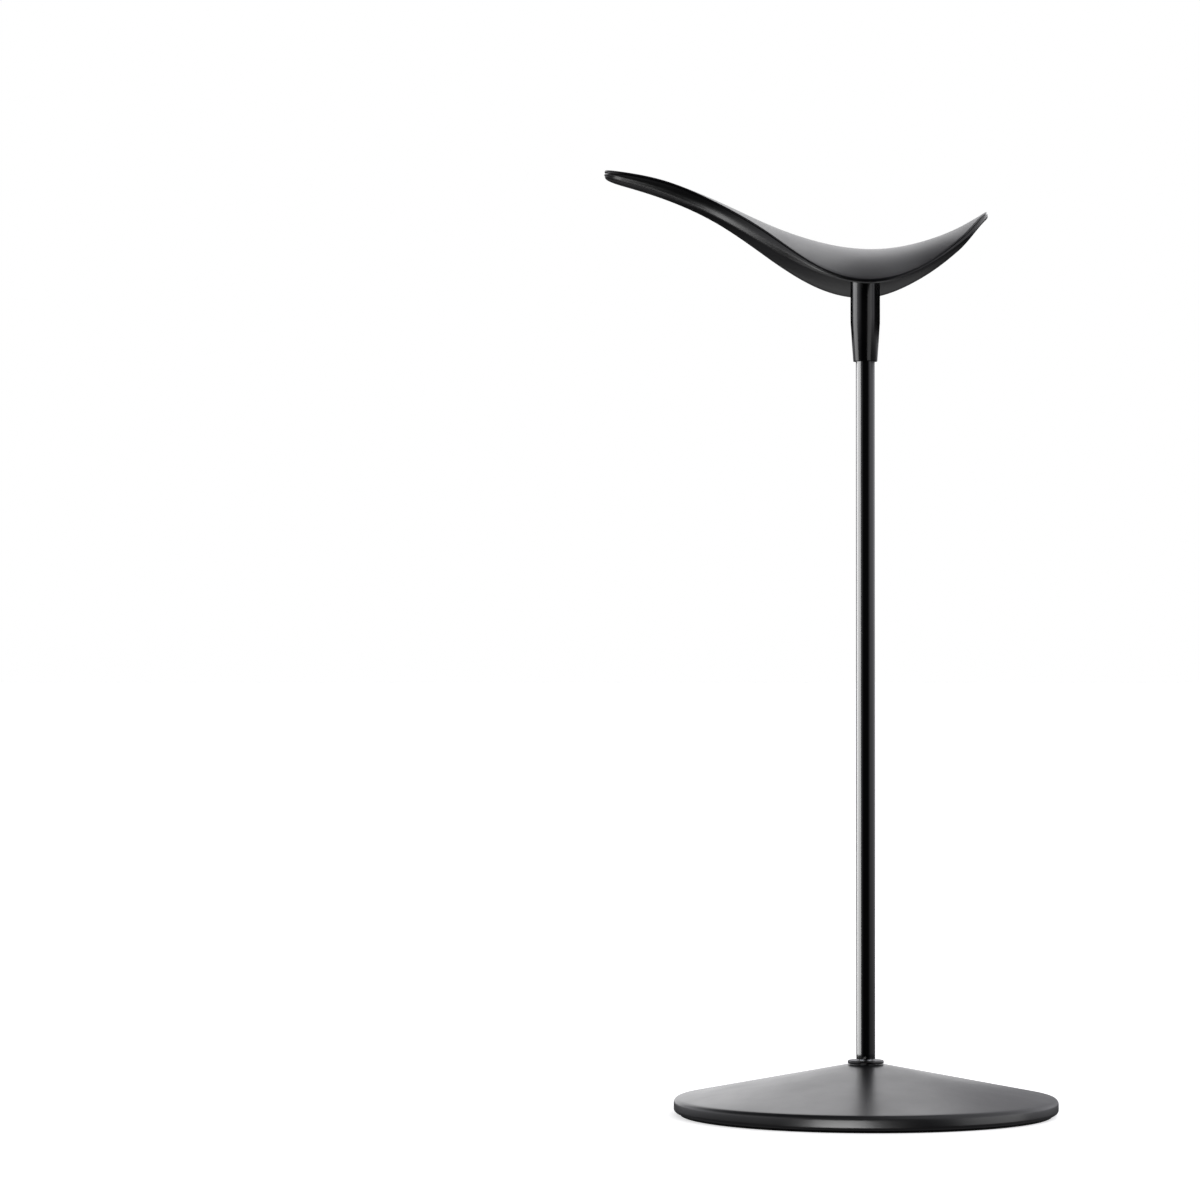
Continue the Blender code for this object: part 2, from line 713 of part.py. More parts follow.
def build_stand():
    """Build every piece of the stand."""
    clear_objects()
    pivot = bpy.data.objects.new("saddle_pivot", None)
    bpy.context.scene.collection.objects.link(pivot)
    pivot.location = (0.0, 0.0, MM * POLE_TOP)
    build_foot()
    build_base_plate()
    build_ballast()
    build_base_cover()
    build_cover_screws()
    build_pole_bolt()
    build_collar()
    build_pole()
    build_pivot_hardware()
    build_neck_sleeve(pivot)
    build_neck_bush(pivot)
    build_saddle_shell(pivot)
    build_saddle_pad(pivot)
    build_saddle_screws(pivot)


build_stand()
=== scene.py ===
"""Looks of the headphone stand: fine meshes, procedural finishes, studio light and the camera.

Shape constants are in millimetres, as in the part's own design; light and camera are in metres.
"""

import json
import math

import bmesh
import bpy
import numpy as np
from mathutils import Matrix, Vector


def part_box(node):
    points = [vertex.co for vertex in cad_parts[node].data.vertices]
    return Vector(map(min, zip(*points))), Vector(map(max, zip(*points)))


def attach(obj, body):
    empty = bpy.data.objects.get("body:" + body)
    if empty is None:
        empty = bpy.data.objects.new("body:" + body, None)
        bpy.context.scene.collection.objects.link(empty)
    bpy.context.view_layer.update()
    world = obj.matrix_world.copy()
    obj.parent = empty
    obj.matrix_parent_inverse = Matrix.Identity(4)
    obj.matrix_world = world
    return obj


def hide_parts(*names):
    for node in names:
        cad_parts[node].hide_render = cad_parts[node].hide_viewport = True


MM = 0.001

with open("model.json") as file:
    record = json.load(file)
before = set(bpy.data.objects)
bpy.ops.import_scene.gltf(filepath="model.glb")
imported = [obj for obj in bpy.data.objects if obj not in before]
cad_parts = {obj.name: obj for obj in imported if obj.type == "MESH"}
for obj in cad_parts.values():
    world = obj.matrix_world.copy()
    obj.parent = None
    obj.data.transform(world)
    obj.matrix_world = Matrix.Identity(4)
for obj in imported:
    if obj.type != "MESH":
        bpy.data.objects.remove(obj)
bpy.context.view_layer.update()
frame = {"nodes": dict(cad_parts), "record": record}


def node_span(name):
    """Return a CAD node's radius about the pole, its bottom and its top, in millimetres."""
    low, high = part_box(name)
    return max(high.x, high.y) / MM, low.z / MM, high.z / MM


# Turned pieces take their sizes from the frame
COVER_RADIUS, RIM_BOTTOM, LAND_HEIGHT = node_span("base_cover")
FOOT_RADIUS, FOOT_BOTTOM, FOOT_TOP = node_span("base_foot")
COLLAR_RADIUS, COLLAR_BOTTOM, COLLAR_TOP = node_span("pole_collar")
POLE_RADIUS, POLE_BOTTOM, POLE_TOP = node_span("pole_rod")
FLANGE_RADIUS, NECK_BOTTOM, FLANGE_TOP = node_span("neck_sleeve")

# Base
COVER_WALL = 1.5
RIM_TOP_ROUND = 1.7
RIM_BOTTOM_ROUND = 1.4
RIM_LEAD_IN = 1.0
CONE_SLOPE = 0.197
CONE_POINTS = 24
LAND_RADIUS = 6.4
LAND_ROUND = 0.5
BOLT_HOLE = 2.3
FOOT_ROLL = 0.35
COLLAR_ROUND = 0.4
COLLAR_LOW_ROUND = 0.2

# Pole
POLE_EDGE = 0.3
POLE_POINTS = 24
POLE_UPPER_HOLE = 1.8
POLE_UPPER_HOLE_DEPTH = 13.0
POLE_LOWER_HOLE_DEPTH = 14.0

# Neck
NECK_BOTTOM_RADIUS = 4.1
NECK_LIP = 0.25
NECK_SHOULDER = 268.0
SHOULDER_EASE = 0.03
NECK_RADIUS = 5.0
NECK_POINTS = 8
NECK_SKIRT_BORE = 3.5
NECK_BORE = 4.3
NECK_BORE_BOTTOM = 261.0
NECK_WEB_BOTTOM = 283.2
FLANGE_BOTTOM = 285.6
FLANGE_ROUND = 0.4
NECK_FILLET = 0.8

# Turned pieces: how far straight runs keep from their ends, steps round the axis and along arcs
RUN_MARGIN = 2.0
COVER_STEPS = 288
FOOT_STEPS = 192
COLLAR_STEPS = 144
POLE_STEPS = 96
NECK_STEPS = 128
BOSS_STEPS = 96
TURNED_SHARP_DEGREES = 40.0
ARC_STEPS = 8
ROLL_STEPS = 5
EDGE_STEPS = 4

# Saddle: rows of x, crest height, rim height, half width and depth
SADDLE_STATIONS = (
    (-88.3, 319.9, 319.6, 7.7, 2.8),
    (-68.0, 315.9, 315.5, 10.8, 4.6),
    (-50.0, 309.3, 307.7, 12.5, 5.4),
    (-34.0, 301.9, 297.6, 20.0, 5.6),
    (-20.0, 296.7, 286.9, 29.2, 4.1),
    (-6.0, 293.6, 280.8, 33.3, 2.9),
    (6.0, 293.2, 280.9, 33.2, 3.0),
    (20.0, 295.9, 286.8, 25.5, 3.6),
    (32.0, 300.6, 296.2, 16.8, 3.5),
    (41.0, 305.8, 305.4, 8.3, 2.6),
)
LONG_TIP_ROUND = 7.0
LONG_TIP_POWER = 2.6
SHORT_TIP_ROUND = 9.0
SHORT_TIP_POWER = 2.2
SADDLE_LENGTHWISE = 150
SADDLE_CROSSWISE = 44
CORNER_STEPS = 6
PAD_DEPTH = 0.6
PARTING_GAP = 0.3
EDGE_INSET = 0.4
PAD_CORNERS = (0.25, 0.10)
SHELL_CORNERS = (0.20, 1.00)
EDGE_FLAT = 0.05
SIDE_SWELL = 0.25
SIDE_STEPS = 6
GROOVE_WIDTH = 0.9
GROOVE_FLOOR_RISE = 0.28
BOSS_RADIUS = 10.8
BOSS_POINTS = 8
BOSS_RISE = 1.0
BOSS_ROUND = 0.3
BOSS_SKIN = 0.6
BOSS_SEAM = 0.02
SADDLE_SHARP_DEGREES = 60.0

# Finishes: two base colours that a noise mixes, the colour of rubbed edges, and roughness ranges
NOISE_RANGE = (0.3, 0.7)
GRAIN_ROUGHNESS = 0.05
COAT_COLOURS = ((0.007, 0.007, 0.008), (0.013, 0.013, 0.0145))
COAT_RUBBED = (0.035, 0.035, 0.038)
COAT_ROUGHNESS = (0.27, 0.33)
LACQUER_COLOURS = ((0.0022, 0.0022, 0.0025), (0.0045, 0.0045, 0.0050))
LACQUER_ROUGHNESS = (0.09, 0.14)
POLISHED_COLOURS = ((0.0024, 0.0024, 0.0028), (0.0048, 0.0048, 0.0054))
POLISHED_ROUGHNESS = (0.13, 0.18)
RUBBER_COLOURS = ((0.007, 0.007, 0.0085), (0.013, 0.013, 0.015))
RUBBER_RUBBED = (0.030, 0.030, 0.034)
RUBBER_ROUGHNESS = (0.34, 0.42)
MOULDED_COLOURS = ((0.003, 0.003, 0.0035), (0.006, 0.006, 0.007))
MOULDED_RUBBED = (0.030, 0.030, 0.033)
MOULDED_ROUGHNESS = (0.30, 0.38)
FOAM_COLOURS = ((0.012, 0.012, 0.012), (0.024, 0.024, 0.024))
FOAM_ROUGHNESS = (0.96, 0.82)
IRON_COLOURS = ((0.050, 0.048, 0.046), (0.115, 0.112, 0.108))
IRON_RUST = (0.105, 0.060, 0.038)
IRON_ROUGHNESS = (0.55, 0.80)
ZINC_COLOURS = ((0.50, 0.51, 0.53), (0.64, 0.65, 0.66))
ZINC_ROUGHNESS = (0.22, 0.38)
NYLON_COLOURS = ((0.70, 0.69, 0.64), (0.79, 0.78, 0.74))
NYLON_ROUGHNESS = (0.38, 0.50)
FLOOR_COLOURS = ((0.90, 0.90, 0.90), (0.92, 0.92, 0.92))
FLAG_COLOURS = ((0.001, 0.001, 0.001), (0.002, 0.002, 0.002))

# Camera: a long lens almost square to the saddle's length, turned so that the stand is on the right
CAMERA_AZIMUTH = math.radians(-2.39)
CAMERA_DISTANCE = 1.606
CAMERA_HEIGHT = 0.154
CAMERA_SENSOR = 36.0
CAMERA_LENS = 142.0
CAMERA_YAW = math.radians(3.21)
CAMERA_PITCH = math.radians(0.722)
CAMERA_REACH = 100.0

# Surround: rows of a direction and its (position, factor) stops, which multiply; a sight line's
# position is 0 where it looks against the direction and 1 where it looks along it
SURROUND = (
    (
        (0.0, 0.0, 1.0),
        ((0.0, 0.12), (0.35, 0.10), (0.45, 0.20), (0.52, 1.25), (0.66, 1.15), (0.84, 0.85), (1.0, 0.7)),
    ),
    (
        (0.0, 1.0, 0.0),
        ((0.0, 0.02), (0.07, 0.03), (0.25, 0.9), (0.45, 1.0), (0.85, 1.0), (0.97, 0.35)),
    ),
    (
        (-0.5, 0.0, 0.87),
        ((0.0, 1.0), (0.80, 1.0), (0.88, 0.5), (0.92, 0.12), (1.0, 0.05)),
    ),
)
SURROUND_TINT = (0.985, 0.98, 1.03)
FLOOR_SIZE = 60.0
FLOOR_GLOW = 0.62

# Softboxes: place, target, size and radiance; a card has the pieces that it shines on as well
OVERHEAD = ((0.0, 0.0, 1.6), (0.0, 0.0, 0.0), (2.5, 2.5), 0.6)
SADDLE_PIECES = ("saddle_core", "saddle_skin")
CARDS = {
    "pole_card": ((-1.0, 0.15, 0.4), (0.0, 0.15, 0.4), (1.4, 1.0), 7.0, ("pole_tube",)),
    "neck_card": ((-1.0, -0.02, 0.4), (0.0, -0.02, 0.4), (0.7, 1.0), 3.5, ("neck_socket",)),
    "neck_stripe": ((0.55, -0.85, 0.4), (0.0, 0.0, 0.27), (0.6, 1.0), 1.15, ("neck_socket",)),
    "rim_key": ((-0.3, -1.0, -0.3), (0.0, 0.0, 0.0), (0.62, 0.7), 8.0, ("base_cone",)),
    "rim_fill": ((1.0, -0.2, -0.1), (0.0, 0.0, -0.1), (0.9, 0.4), 1.2, ("base_cone",)),
    "cone_card": ((-0.2, 0.7, 0.3), (-0.2, 0.0, 0.3), (0.62, 0.6), 1.05, ("base_cone",)),
    "table_card": ((-0.05, 0.055, -0.01), (-0.05, 0.055, 1.0), (0.8, 0.15), 1.8, ("saddle_core",)),
    "table_left": ((-0.72, -0.42, -0.13), (-0.036, -0.02, 0.285), (0.5, 0.5), 5.5, ("saddle_core",)),
    "top_card": ((0.9, 0.9, 1.25), (0.0, 0.0, 0.29), (1.4, 1.4), 1.6, SADDLE_PIECES),
    "horizon_card": ((-0.25, 0.9, 0.75), (0.0, 0.0, 0.29), (1.3, 0.8), 1.2, SADDLE_PIECES),
}

# Flag round the back of the neck: radius and heights, and angles from the camera's side in degrees
FLAG_RADIUS = 0.12
FLAG_BOTTOM = 0.262
FLAG_TOP = 0.300
FLAG_START = 72.0
FLAG_END = 245.0
FLAG_STEPS = 40


# Node helpers


class Shader:
    """A small builder for one procedural material."""

    def __init__(self, name):
        self.material = bpy.data.materials.new(name)
        self.material.use_nodes = True
        self.nodes = self.material.node_tree.nodes
        self.links = self.material.node_tree.links
        self.surface = self.nodes["Principled BSDF"]
        self.place = self.nodes.new("ShaderNodeTexCoord").outputs["Object"]

    def set(self, **values):
        """Set the surface's own sockets, with underscores for spaces."""
        for key, value in values.items():
            self.surface.inputs[key.replace("_", " ")].default_value = value

    def stretched(self, x, y, z):
        """Return the object coordinates scaled along each axis."""
        mapping = self.nodes.new("ShaderNodeMapping")
        mapping.inputs["Scale"].default_value = (x, y, z)
        self.links.new(self.place, mapping.inputs["Vector"])
        return mapping.outputs["Vector"]

    def noise(self, scale, detail=4.0, roughness=0.55, vector=None):
        """Return a noise value; the scale is in cells per metre."""
        node = self.nodes.new("ShaderNodeTexNoise")
        node.inputs["Scale"].default_value = scale
        node.inputs["Detail"].default_value = detail
        node.inputs["Roughness"].default_value = roughness
        self.links.new(vector or self.place, node.inputs["Vector"])
        return node.outputs["Fac"]

    def cells(self, scale, feature="F1"):
        """Return a Voronoi distance; the scale is in cells per metre."""
        node = self.nodes.new("ShaderNodeTexVoronoi")
        node.feature = feature
        node.inputs["Scale"].default_value = scale
        self.links.new(self.place, node.inputs["Vector"])
        return node.outputs["Distance"]

    def spread(self, value, low, high, start=0.0, end=1.0):
        """Map a value's range from low..high to start..end."""
        node = self.nodes.new("ShaderNodeMapRange")
        node.inputs["From Min"].default_value = low
        node.inputs["From Max"].default_value = high
        node.inputs["To Min"].default_value = start
        node.inputs["To Max"].default_value = end
        self.links.new(value, node.inputs["Value"])
        return node.outputs["Result"]

    def math(self, operation, first, second):
        """Combine a value with another value or a number."""
        node = self.nodes.new("ShaderNodeMath")
        node.operation = operation
        self.links.new(first, node.inputs[0])
        if isinstance(second, (int, float)):
            node.inputs[1].default_value = second
        else:
            self.links.new(second, node.inputs[1])
        return node.outputs["Value"]

    def mix(self, share, first, second):
        """Return a colour between two colours or colour outputs."""
        node = self.nodes.new("ShaderNodeMix")
        node.data_type = "RGBA"
        self.links.new(share, node.inputs["Factor"])
        for key, colour in (("A", first), ("B", second)):
            socket = [item for item in node.inputs if item.name == key and item.type == "RGBA"][0]
            if isinstance(colour, tuple):
                socket.default_value = (*colour, 1.0)
            else:
                self.links.new(colour, socket)
        return [item for item in node.outputs if item.type == "RGBA"][0]

    def edges(self, low, high):
        """Return 1 on outer edges and 0 elsewhere, from the mesh's own curvature."""
        pointiness = self.nodes.new("ShaderNodeNewGeometry").outputs["Pointiness"]
        return self.spread(pointiness, low, high)

    def bump(self, *layers):
        """Stack bump layers of (height, strength, distance in metres) on the surface."""
        normal = None
        for height, strength, distance in layers:
            node = self.nodes.new("ShaderNodeBump")
            node.inputs["Strength"].default_value = strength
            node.inputs["Distance"].default_value = distance
            self.links.new(height, node.inputs["Height"])
            if normal is not None:
                self.links.new(normal, node.inputs["Normal"])
            normal = node.outputs["Normal"]
        self.links.new(normal, self.surface.inputs["Normal"])

    def colour(self, output):
        """Drive the base colour."""
        self.links.new(output, self.surface.inputs["Base Color"])

    def roughness(self, output):
        """Drive the roughness."""
        self.links.new(output, self.surface.inputs["Roughness"])


# Finishes


def satin_coat():
    """Return the base's satin black powder coat: fine orange peel, faint mottling, rubbed edges."""
    shader = Shader("satin_black_coat")
    shader.set(Specular_IOR_Level=0.5, Coat_Weight=0.15, Coat_Roughness=0.22)
    cloud = shader.noise(60.0, 3.0)
    grain = shader.noise(5200.0, 2.0)
    worn = shader.math("MULTIPLY", shader.edges(0.515, 0.56), shader.noise(900.0, 3.0))
    black = shader.mix(cloud, *COAT_COLOURS)
    shader.colour(shader.mix(worn, black, COAT_RUBBED))
    satin = shader.spread(cloud, *NOISE_RANGE, *COAT_ROUGHNESS)
    shader.roughness(shader.math("ADD", satin, shader.math("MULTIPLY", grain, GRAIN_ROUGHNESS)))
    shader.bump((shader.noise(1300.0, 2.0), 0.10, 0.00006), (grain, 0.12, 0.00002))
    return shader.material


def gloss_lacquer():
    """Return the pole's gloss black lacquer, with a faint ripple and hairline marks along Z."""
    shader = Shader("gloss_black_lacquer")
    shader.set(Specular_IOR_Level=0.5, Coat_Weight=0.35, Coat_Roughness=0.04)
    cloud = shader.noise(90.0, 3.0)
    hairs = shader.noise(1.0, 3.0, 0.6, shader.stretched(4200.0, 4200.0, 60.0))
    shader.colour(shader.mix(cloud, *LACQUER_COLOURS))
    gloss = shader.spread(cloud, *NOISE_RANGE, *LACQUER_ROUGHNESS)
    shader.roughness(shader.math("ADD", gloss, shader.math("MULTIPLY", hairs, GRAIN_ROUGHNESS)))
    shader.bump((shader.noise(260.0, 2.0), 0.03, 0.00005), (hairs, 0.02, 0.000006))
    return shader.material


def polished_plastic():
    """Return the neck's polished moulded plastic, with faint sink marks along its length."""
    shader = Shader("polished_black_plastic")
    shader.set(Specular_IOR_Level=0.5)
    cloud = shader.noise(110.0, 3.0)
    sinks = shader.noise(1.0, 3.0, 0.5, shader.stretched(420.0, 420.0, 90.0))
    grain = shader.noise(6000.0, 2.0)
    shader.colour(shader.mix(cloud, *POLISHED_COLOURS))
    polish = shader.spread(cloud, *NOISE_RANGE, *POLISHED_ROUGHNESS)
    shader.roughness(shader.math("ADD", polish, shader.math("MULTIPLY", grain, GRAIN_ROUGHNESS)))
    shader.bump((sinks, 0.06, 0.00005), (grain, 0.05, 0.000008))
    return shader.material


def soft_touch():
    """Return the saddle's upper skin: matt soft-touch rubber with a fine pebble and a faint sheen."""
    shader = Shader("soft_touch_rubber")
    shader.set(Specular_IOR_Level=0.5, Sheen_Weight=0.02, Sheen_Roughness=0.4)
    cloud = shader.noise(45.0, 4.0)
    pebble = shader.cells(2600.0, "SMOOTH_F1")
    grain = shader.noise(7000.0, 2.0)
    black = shader.mix(cloud, *RUBBER_COLOURS)
    worn = shader.math("MULTIPLY", shader.edges(0.51, 0.56), shader.noise(600.0, 3.0))
    shader.colour(shader.mix(worn, black, RUBBER_RUBBED))
    shader.roughness(shader.spread(cloud, *NOISE_RANGE, *RUBBER_ROUGHNESS))
    shader.bump((pebble, 0.16, 0.00005), (grain, 0.12, 0.00002))
    return shader.material


def moulded_plastic():
    """Return the shell's satin moulded plastic: spark-eroded grain and faint flow marks."""
    shader = Shader("moulded_black_plastic")
    shader.set(Specular_IOR_Level=0.5)
    flow = shader.noise(1.0, 4.0, 0.6, shader.stretched(35.0, 160.0, 160.0))
    grain = shader.noise(5600.0, 3.0)
    black = shader.mix(flow, *MOULDED_COLOURS)
    worn = shader.math("MULTIPLY", shader.edges(0.51, 0.56), shader.noise(800.0, 3.0))
    shader.colour(shader.mix(worn, black, MOULDED_RUBBED))
    shader.roughness(shader.spread(flow, *NOISE_RANGE, *MOULDED_ROUGHNESS))
    shader.bump((flow, 0.05, 0.0001), (grain, 0.14, 0.00002))
    return shader.material


def foam():
    """Return the foot's closed-cell foam."""
    shader = Shader("black_closed_cell_foam")
    shader.set(Specular_IOR_Level=0.2)
    cells = shader.cells(2200.0)
    cloud = shader.noise(120.0, 4.0)
    shader.colour(shader.mix(cloud, *FOAM_COLOURS))
    shader.roughness(shader.spread(cells, 0.0, 0.6, *FOAM_ROUGHNESS))
    shader.bump((cells, 0.5, 0.0002), (shader.noise(5000.0), 0.2, 0.00005))
    return shader.material


def cast_iron():
    """Return the ballast's raw casting skin."""
    shader = Shader("raw_cast_iron")
    shader.set(Metallic=0.85)
    coarse = shader.noise(420.0, 6.0, 0.65)
    rust = shader.spread(shader.noise(70.0, 5.0), 0.52, 0.68)
    grey = shader.mix(coarse, *IRON_COLOURS)
    shader.colour(shader.mix(rust, grey, IRON_RUST))
    shader.roughness(shader.spread(coarse, *NOISE_RANGE, *IRON_ROUGHNESS))
    shader.bump((coarse, 0.6, 0.0003), (shader.noise(2600.0), 0.3, 0.00008))
    return shader.material


def zinc_plate():
    """Return bright zinc plating with a faint spangle and turning marks."""
    shader = Shader("zinc_plated_steel")
    shader.set(Metallic=1.0)
    spangle = shader.cells(900.0)
    turning = shader.noise(1.0, 2.0, 0.5, shader.stretched(300.0, 300.0, 9000.0))
    shader.colour(shader.mix(spangle, *ZINC_COLOURS))
    shader.roughness(shader.spread(shader.noise(500.0, 4.0), *NOISE_RANGE, *ZINC_ROUGHNESS))
    shader.bump((turning, 0.08, 0.00002), (spangle, 0.06, 0.00003))
    return shader.material


def nylon():
    """Return natural nylon, slightly translucent, with fine moulding grain."""
    shader = Shader("natural_nylon")
    shader.set(Subsurface_Weight=0.25, Subsurface_Scale=0.0006, Specular_IOR_Level=0.45)
    cloud = shader.noise(300.0, 3.0)
    shader.colour(shader.mix(cloud, *NYLON_COLOURS))
    shader.roughness(shader.spread(cloud, *NOISE_RANGE, *NYLON_ROUGHNESS))
    shader.bump((shader.noise(3500.0, 3.0), 0.15, 0.00003))
    return shader.material


SLOT_FINISHES = {
    "satin_black_metal": satin_coat(),
    "gloss_black_metal": gloss_lacquer(),
    "gloss_black_plastic": polished_plastic(),
    "soft_black_pad": soft_touch(),
    "black_plastic": moulded_plastic(),
    "black_foam": foam(),
    "cast_iron": cast_iron(),
    "zinc_steel": zinc_plate(),
    "white_nylon": nylon(),
}
NODE_SLOTS = {row["node"]: row["material_slot"] for row in frame["record"]["subparts"]}
NODE_BODIES = {
    node: body for body, nodes in frame["record"]["behaviour"]["bodies"].items() for node in nodes
}


def dress_frame_nodes():
    """Give every CAD node its procedural finish."""
    for name, node in frame["nodes"].items():
        node.data.materials.clear()
        node.data.materials.append(SLOT_FINISHES[NODE_SLOTS[name]])


def add_piece(name, builder, node, sharp_degrees=TURNED_SHARP_DEGREES):
    """Turn a bmesh in millimetres into a piece that stands for a CAD node."""
    bmesh.ops.scale(builder, vec=(MM, MM, MM), verts=builder.verts)
    bmesh.ops.recalc_face_normals(builder, faces=builder.faces)
    mesh = bpy.data.meshes.new(name)
    builder.to_mesh(mesh)
    builder.free()
    mesh.shade_smooth()
    mesh.set_sharp_from_angle(angle=math.radians(sharp_degrees))
    mesh.materials.append(SLOT_FINISHES[NODE_SLOTS[node]])
    piece = bpy.data.objects.new(name, mesh)
    bpy.context.scene.collection.objects.link(piece)
    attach(piece, NODE_BODIES[node])
    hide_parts(node)
    return piece


# Turned pieces


def bridge(builder, first, second):
    """Join two closed rings of vertices with a band of faces; a ring of one vertex is a point."""
    count = max(len(first), len(second))
    for index in range(count):
        following = (index + 1) % count
        if len(first) == 1:
            corners = (first[0], second[following], second[index])
        elif len(second) == 1:
            corners = (first[index], first[following], second[0])
        else:
            corners = (first[index], first[following], second[following], second[index])
        builder.faces.new(corners)


def turned_ring(builder, radius, height, steps):
    """Return a ring of vertices about Z, or one vertex where the radius is 0."""
    if radius == 0.0:
        return [builder.verts.new((0.0, 0.0, height))]
    turns = [math.tau * step / steps for step in range(steps)]
    places = [(radius * math.cos(turn), radius * math.sin(turn), height) for turn in turns]
    return [builder.verts.new(place) for place in places]


def lathe(profile, steps):
    """Turn a profile of (radius, height) points about Z; it may start and end on the axis."""
    builder = bmesh.new()
    rings = [turned_ring(builder, radius, height, steps) for radius, height in profile]
    for first, second in zip(rings, rings[1:]):
        bridge(builder, first, second)
    if profile[0][0] > 0.0:
        bridge(builder, rings[-1], rings[0])
    return builder


def arc(centre_radius, centre_height, radius, start_degrees, end_degrees, steps=ARC_STEPS):
    """Return profile points along a circular arc."""
    angles = np.radians(np.linspace(start_degrees, end_degrees, steps + 1))
    return [
        (centre_radius + radius * math.cos(angle), centre_height + radius * math.sin(angle))
        for angle in angles
    ]


def upright(radius, start, end, count):
    """Return evenly spaced profile points along a straight run at one radius."""
    return [(radius, height) for height in np.linspace(start, end, count)]


def cone_height(radius):
    """Return the height of the base's sloping top at a radius."""
    return LAND_HEIGHT + CONE_SLOPE * (LAND_RADIUS - radius)


def make_base_cover():
    """Make the cone, its rounded rim and its hollow underside."""
    slope_degrees = math.degrees(math.atan(CONE_SLOPE))
    lean = math.radians(90.0 - slope_degrees)
    top_centre = COVER_RADIUS - RIM_TOP_ROUND
    cone_end = top_centre + RIM_TOP_ROUND * math.cos(lean)
    top_height = cone_height(cone_end) - RIM_TOP_ROUND * math.sin(lean)
    bottom_centre = COVER_RADIUS - RIM_BOTTOM_ROUND
    inner = COVER_RADIUS - COVER_WALL
    underside = LAND_HEIGHT - COVER_WALL
    cone_radii = np.linspace(LAND_RADIUS, top_centre - RIM_LEAD_IN, CONE_POINTS)
    profile = [(BOLT_HOLE, LAND_HEIGHT), (LAND_RADIUS - LAND_ROUND, LAND_HEIGHT)]
    profile += [(radius, cone_height(radius)) for radius in cone_radii]
    profile += arc(top_centre, top_height, RIM_TOP_ROUND, 90.0 - slope_degrees, 0.0)
    profile += arc(bottom_centre, RIM_BOTTOM + RIM_BOTTOM_ROUND, RIM_BOTTOM_ROUND, 0.0, -90.0)
    profile += [(inner, RIM_BOTTOM), (inner, cone_height(inner) - COVER_WALL)]
    profile += [(LAND_RADIUS, underside), (BOLT_HOLE, underside)]
    add_piece("base_cone", lathe(profile, COVER_STEPS), "base_cover")


def make_foot():
    """Make the foam foot with softly rolled edges."""
    edge = FOOT_RADIUS - FOOT_ROLL
    profile = [(0.0, FOOT_TOP)]
    profile += arc(edge, FOOT_TOP - FOOT_ROLL, FOOT_ROLL, 90.0, 0.0, ROLL_STEPS)
    profile += arc(edge, FOOT_BOTTOM + FOOT_ROLL, FOOT_ROLL, 0.0, -90.0, ROLL_STEPS)
    profile += [(0.0, FOOT_BOTTOM)]
    foot = add_piece("foam_foot", lathe(profile, FOOT_STEPS), "base_foot")


def make_collar():
    """Make the ring round the pole's foot, with its rounded shoulder."""
    low_edge = COLLAR_RADIUS - COLLAR_LOW_ROUND
    high_edge = COLLAR_RADIUS - COLLAR_ROUND
    profile = [(BOLT_HOLE, COLLAR_BOTTOM)]
    profile += arc(low_edge, COLLAR_BOTTOM + COLLAR_LOW_ROUND, COLLAR_LOW_ROUND, -90.0, 0.0, EDGE_STEPS)
    profile += arc(high_edge, COLLAR_TOP - COLLAR_ROUND, COLLAR_ROUND, 0.0, 90.0)
    profile += [(BOLT_HOLE, COLLAR_TOP)]
    add_piece("collar_ring", lathe(profile, COLLAR_STEPS), "pole_collar")


def make_pole():
    """Make the rod with its two tapped holes and broken edges."""
    corner = POLE_RADIUS - POLE_EDGE
    lower_end = POLE_BOTTOM + POLE_LOWER_HOLE_DEPTH
    upper_end = POLE_TOP - POLE_UPPER_HOLE_DEPTH
    profile = [(0.0, lower_end), (BOLT_HOLE, lower_end), (BOLT_HOLE, POLE_BOTTOM)]
    profile += arc(corner, POLE_BOTTOM + POLE_EDGE, POLE_EDGE, -90.0, 0.0, EDGE_STEPS)
    profile += upright(POLE_RADIUS, POLE_BOTTOM + RUN_MARGIN, POLE_TOP - RUN_MARGIN, POLE_POINTS)
    profile += arc(corner, POLE_TOP - POLE_EDGE, POLE_EDGE, 0.0, 90.0, EDGE_STEPS)
    profile += [(POLE_UPPER_HOLE, POLE_TOP), (POLE_UPPER_HOLE, upper_end), (0.0, upper_end)]
    add_piece("pole_tube", lathe(profile, POLE_STEPS), "pole_rod")


